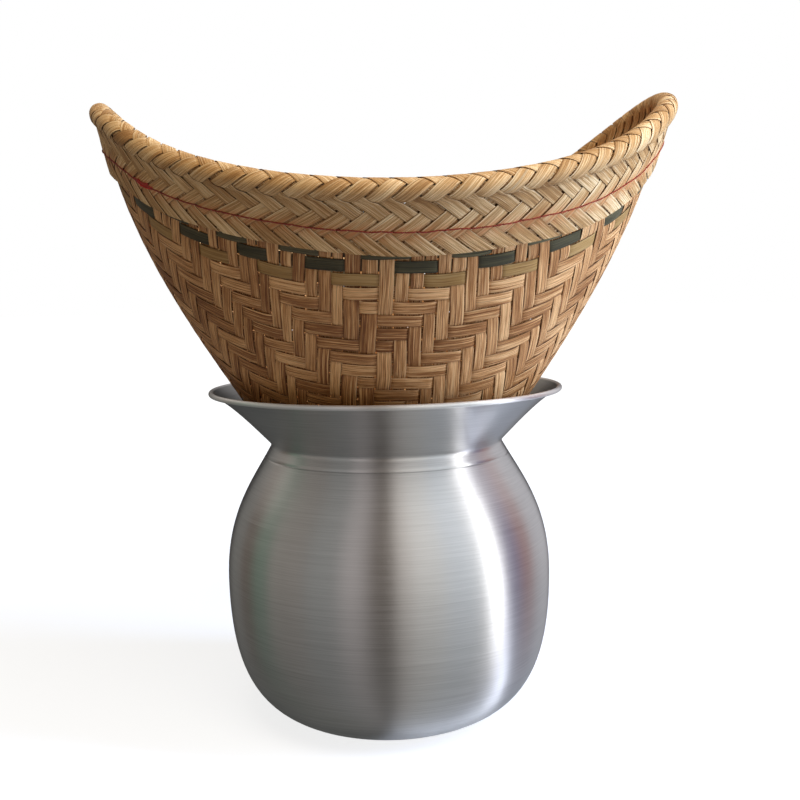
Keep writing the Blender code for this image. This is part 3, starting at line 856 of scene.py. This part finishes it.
# The band's own section, from outside to inside, as (depth below the rim's top, out from the wall's middle).
BAND_LINE = [
    (0.0425, 0.0029), (0.0336, 0.0029), (0.0262, 0.0029), (0.0210, 0.0029), (0.0169, 0.0029),
    (0.0110, 0.0033), (0.0087, 0.0052), (0.0045, 0.0052), (0.0018, 0.0035), (0.00065, 0.0013),
    (0.00065, -0.0013), (0.0018, -0.0035), (0.0045, -0.0052), (0.0087, -0.0052), (0.0110, -0.0033),
    (0.0169, -0.0029), (0.0210, -0.0029), (0.0262, -0.0029), (0.0360, -0.0029),
]
BAND_SPARE = 0.0034

# The band's outer edge wanders up by these metres, at metres round the rim from the front's middle. The
# shift dies away up the band.
EDGE_AT = (-0.20, -0.15, -0.105, -0.07, -0.045, 0.0, 0.06, 0.085, 0.11, 0.15, 0.20)
EDGE_UP = (0.0, 0.0008, 0.0028, 0.0026, 0.0016, -0.0005, -0.0008, -0.0018, -0.0026, -0.0022, 0.0)
EDGE_FADE = 0.030
BAND_LEVEL = 0.005175
BAND_FIRST = 0.00236
BAND_PITCH = 0.0122
BAND_UNEVEN = 0.006
BAND_STRIP_WIDTH = 0.0081
BAND_STRIP_THICKNESS = 0.00045
BAND_WEAVE_HEIGHT = 0.00030


def smooth_line(points, steps):
    """A rounded line through the points, as an even run of places."""
    places = []
    padded = [points[0]] + points + [points[-1]]
    for before, start, end, after in zip(padded, padded[1:], padded[2:], padded[3:]):
        for k in range(steps):
            t = k / steps
            places.append([0.5 * (2 * q + (r - p) * t + (2 * p - 5 * q + 4 * r - s) * t * t
                                  + (3 * q - p - 3 * r + s) * t ** 3)
                           for p, q, r, s in zip(before, start, end, after)])
    places.append(list(points[-1]))
    return np.array(places)


band_line = smooth_line(BAND_LINE, 8)
band_run = np.concatenate([[0.0], np.cumsum(np.linalg.norm(np.diff(band_line, axis=0), axis=1))])
BAND_WIDTH = band_run[-1] - BAND_SPARE
band_heading = np.gradient(band_line, band_run, axis=0)

RIM_STRAIGHT = MAT_SIDE - MAT_CORNER
RIM_HALF = 2 * RIM_STRAIGHT + 0.5 * math.pi * MAT_CORNER
MEASURED_BELOW = 0.022
MEASURED_OUT = 0.003


def rim_places(flat, below, out):
    """Places by their flat distance round the rim, their depth below it and out from the wall's middle."""
    flat = np.mod(flat, 2 * RIM_HALF)
    right = flat < RIM_HALF
    run = np.where(right, flat, 2 * RIM_HALF - flat)
    turn = np.clip((run - RIM_STRAIGHT) / MAT_CORNER, 0.0, 0.5 * math.pi)
    corner = MAT_CORNER - below
    u = np.where(run < RIM_STRAIGHT, run, RIM_STRAIGHT + corner * np.sin(turn))
    v = np.where(run > RIM_HALF - RIM_STRAIGHT, RIM_HALF - run, RIM_STRAIGHT + corner * np.cos(turn))
    phi = np.where(right, 1.0, -1.0) * 2 * np.arctan2(u, v)
    return wall_places(np.hypot(u, v), phi, out)


flat_steps = np.linspace(0.0, 2 * RIM_HALF, 1601)
rim_line = rim_places(flat_steps, np.full_like(flat_steps, MEASURED_BELOW),
                      np.full_like(flat_steps, MEASURED_OUT))
rim_run = np.concatenate([[0.0], np.cumsum(np.linalg.norm(np.diff(rim_line, axis=0), axis=1))])
RIM_LENGTH = rim_run[-1]
BAND_STRIPS = round(RIM_LENGTH / BAND_PITCH)
BAND_SPACING = RIM_LENGTH / BAND_STRIPS
SQUASH = 2 * BAND_LEVEL / BAND_SPACING


def band_places(run, climb, lift):
    """Places on the band: round the rim, up the band's width from its outer edge, and off its middle."""
    flat = np.interp(np.mod(run, RIM_LENGTH), rim_run, flat_steps)
    from_front = np.mod(run + 0.5 * RIM_LENGTH, RIM_LENGTH) - 0.5 * RIM_LENGTH
    uneven = np.interp(from_front, EDGE_AT, EDGE_UP) * np.clip(1 - climb / EDGE_FADE, 0.0, 1.0)
    climb = np.clip(BAND_SPARE + climb + uneven, 0.0, BAND_SPARE + BAND_WIDTH)
    below = np.interp(climb, band_run, band_line[:, 0])
    out = np.interp(climb, band_run, band_line[:, 1])
    down = np.interp(climb, band_run, band_heading[:, 0])
    sideways = np.interp(climb, band_run, band_heading[:, 1])
    size = np.hypot(down, sideways)
    return rim_places(flat, below + lift * sideways / size, out - lift * down / size)


BAND_SECTION = [
    (-0.5, 0.0), (-0.485, 0.8), (-0.27, 1.0), (0.0, 1.05), (0.27, 1.0), (0.485, 0.8), (0.5, 0.0),
    (0.485, -0.8), (0.27, -1.0), (0.0, -1.0), (-0.27, -1.0), (-0.485, -0.8)]
BAND_DIP = 0.0020
CROWN_START = 0.025
CROWN_END = 0.056


def band_strip(number, leans_right):
    """One strip of the plait, from the band's outer edge over the roll to its inner edge."""
    length = BAND_WIDTH / SQUASH * math.sqrt(2)
    half = 0.5 * BAND_STRIP_WIDTH
    turns = [0.0]
    while turns[-1] < length:
        turns.append((BAND_FIRST + (2 * len(turns) - 0.5) * BAND_LEVEL) / SQUASH * math.sqrt(2))
    stations = []
    for k, (low, high) in enumerate(zip(turns, turns[1:])):
        side = 1 if (k % 2 == 1) == leans_right else -1
        if k > 0:
            stations += [(low, 0.0), (low + 0.5 * BAND_DIP, DIP_SHOULDER * side), (low + BAND_DIP, side)]
        middle_climb = 0.5 * (low + high) * SQUASH / math.sqrt(2)
        count = 8 if CROWN_START < middle_climb < CROWN_END else 3
        for m in range(1, count):
            share = m / count
            place = low + BAND_DIP + (high - low - 2 * BAND_DIP) * share
            stations.append((place, side * (1 + 0.35 * math.sin(math.pi * share))))
        stations += [(high - BAND_DIP, side), (high - 0.5 * BAND_DIP, DIP_SHOULDER * side)]
    inside = [(t, h) for t, h in stations if half + 0.001 < t < length - half - 0.001]
    places = np.array([0.0] + [t for t, _ in inside] + [length])
    heights = np.array([inside[0][1]] + [h for _, h in inside] + [inside[-1][1]]) * BAND_WEAVE_HEIGHT
    start = number * BAND_SPACING
    lean = 1.0 if leans_right else -1.0

    def lay(along, across, lift):
        cut = np.where(along == 0.0, -across, np.where(along == length, length - across, along))
        climb = SQUASH * (cut + across) / math.sqrt(2)
        run = start + lean * ((cut - across) / math.sqrt(2) - BAND_FIRST / SQUASH)
        return band_places(run + BAND_UNEVEN * np.sin(4 * math.pi * run / RIM_LENGTH), climb, lift)

    return ribbon(places, heights, 0.0, BAND_STRIP_WIDTH, lay, 5000 + number + 500 * leans_right,
                  BAND_STRIP_THICKNESS, BAND_SECTION)


BAND_OUTER_EDGE = 0.0391
BAND_INNER_EDGE = 0.0360
SEAM_BELOW_RIM = 0.0262
SEAM_CLIMB = BAND_OUTER_EDGE - SEAM_BELOW_RIM


def thread_stain(nodes, body, along, across):
    """The thread's dye has run a little way into the plait along the seam."""
    climb = (along + (across - 0.5) * BAND_STRIP_WIDTH) * (SQUASH / math.sqrt(2))
    near = (1.0 - abs(climb - SEAM_CLIMB + 0.0010) * 150.0).held()
    patchy = nodes.noise(nodes.place(along * 40.0, across * 3.0, 3.0), 1.0, 2.0, 0.5)
    return nodes.mix(body, (0.60, 0.19, 0.055), near * ((patchy - 0.30) * 2.8).held() * 0.8)


plait_finish = bamboo_recipe(
    "plaited bamboo", (0.31, 0.135, 0.037), (0.57, 0.288, 0.093), (0.91, 0.60, 0.28),
    (0.12, 0.050, 0.016), 1.5, 0.55, 0.38, thread_stain)
for name, leans_right in (("band_strips_up_right", True), ("band_strips_up_left", False)):
    piece = join_ribbons(name, [band_strip(k, leans_right) for k in range(BAND_STRIPS)])
    piece.data.materials.append(plait_finish)
    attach(piece, "basket")
    if leans_right:
        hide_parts("rim_band")


# The sewing: red thread in a running back stitch that holds the band's two sides together through the
# mat, and a bunch of stitches near the left horn where the thread is tied off.

THREAD_RADIUS = 0.00038
THREAD_SIDES = 6
STITCH_LENGTH = 0.0055
STITCH_UNEVEN = 0.00035
STITCH_SHARES = (0.0, 0.06, 0.14, 0.3, 0.5, 0.7, 0.86, 0.94)
STITCH_DIVE = 0.12
STITCH_TONE = 0.15
STITCH_ROWS = (("stitching_outside", SEAM_CLIMB, "stitch_thread_outer"),
               ("stitching_inside", BAND_WIDTH - (BAND_INNER_EDGE - SEAM_BELOW_RIM), "stitch_thread_inner"))
THREAD_LIFT = BAND_WEAVE_HEIGHT + 0.5 * BAND_STRIP_THICKNESS - 0.0001


def tube(path, radius):
    """A thread's rings along a path of places."""
    ahead_of = np.roll(path, -1, axis=0) - np.roll(path, 1, axis=0)
    ahead_of[0] = path[1] - path[0]
    ahead_of[-1] = path[-1] - path[-2]
    heading = ahead_of / np.linalg.norm(ahead_of, axis=1)[:, None]
    side = np.cross(heading, np.array([0.0, 0.0, 1.0]))
    side = side / np.linalg.norm(side, axis=1)[:, None]
    top = np.cross(side, heading)
    turns = 2 * math.pi * np.arange(THREAD_SIDES) / THREAD_SIDES
    turns = turns[None, :, None]
    ring = side[:, None, :] * np.cos(turns) + top[:, None, :] * np.sin(turns)
    return path[:, None, :] + radius * ring


def thread_uv(path):
    run = np.concatenate([[0.0], np.cumsum(np.linalg.norm(np.diff(path, axis=0), axis=1))])
    round_it = np.arange(THREAD_SIDES) / THREAD_SIDES
    return np.stack(np.broadcast_arrays(run[:, None], round_it[None, :]), axis=-1)


thread_finish, recipe = new_finish("red sewing thread")
along, across, _ = recipe.parts(recipe.node("ShaderNodeUVMap", {"uv_map": "strip"}))
wave = recipe.node("ShaderNodeMath", {"operation": "SINE"}, {0: along * 5200.0 + across * 12.6})
twist = wave * 0.5 + 0.5
patch = recipe.noise(recipe.place(along * 60.0, 0.0, 0.0), 1.0, 2.0, 0.5)
strand = (twist * 0.4 + patch * 0.7).held()
bright = recipe.node("ShaderNodeAttribute", {"attribute_name": "tone"}, output="Fac")
recipe.surface({
    "Base Color": recipe.mix(recipe.mix((0.06, 0.012, 0.006), (0.33, 0.050, 0.017), strand),
                             recipe.mix((0.42, 0.022, 0.012), (0.86, 0.062, 0.032), strand), bright),
    "Roughness": 0.7,
    "Normal": recipe.bump(twist, 0.5, 0.0002),
})

for name, climb, node in STITCH_ROWS:
    stitches = round(RIM_LENGTH / STITCH_LENGTH)
    chance = random.Random(71)
    shift = [chance.uniform(-STITCH_UNEVEN, STITCH_UNEVEN) for _ in range(stitches)]
    run, high, lift = [], [], []
    for k in range(stitches):
        for share in STITCH_SHARES:
            run.append((k + share) * RIM_LENGTH / stitches)
            high.append(climb + shift[k] * (1 - share) + shift[(k + 1) % stitches] * share)
            dive = max(0.0, 1 - min(share, 1 - share) / STITCH_DIVE)
            lift.append(THREAD_LIFT + THREAD_RADIUS * (1.0 - 1.5 * dive))
    run, high, lift = run + [run[0] + RIM_LENGTH - 1e-5], high + [high[0]], lift + [lift[0]]
    path = band_places(np.array(run), np.array(high), np.array(lift))
    piece = join_ribbons(name, [(tube(path, THREAD_RADIUS), thread_uv(path), STITCH_TONE)])
    piece.data.materials.append(thread_finish)
    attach(piece, "basket")
    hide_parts(node)

TACK_FROM_FRONT = 0.1415
TACK_LENGTH = 0.0185
TACK_STRANDS = 14
TACK_FLAT = 2 * RIM_HALF - TACK_FROM_FRONT
tack_run = float(np.interp(TACK_FLAT, flat_steps, rim_run))
strands = []
chance = random.Random(9)
for k in range(TACK_STRANDS):
    steps = np.linspace(0.0, 1.0, 12)
    length = TACK_LENGTH * chance.uniform(0.35, 1.0)
    begin = tack_run - 0.5 * length + chance.uniform(-0.0045, 0.0025)
    start_high, end_high = chance.uniform(-0.0019, 0.0016), chance.uniform(-0.0013, 0.0019)
    high = SEAM_CLIMB + start_high * (1 - steps) + end_high * steps
    swell = np.sin(math.pi * steps)
    lift = THREAD_LIFT + THREAD_RADIUS * (0.2 + (0.6 + 0.12 * k) * swell)
    path = band_places(begin + length * steps, high + 0.0003 * np.sin(7 * steps + k), lift)
    strands.append((tube(path, 0.75 * THREAD_RADIUS), thread_uv(path), chance.uniform(0.6, 1.0)))
tack = join_ribbons("thread_tie_off", strands)
tack.data.materials.append(thread_finish)
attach(tack, "basket")
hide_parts("thread_tack")
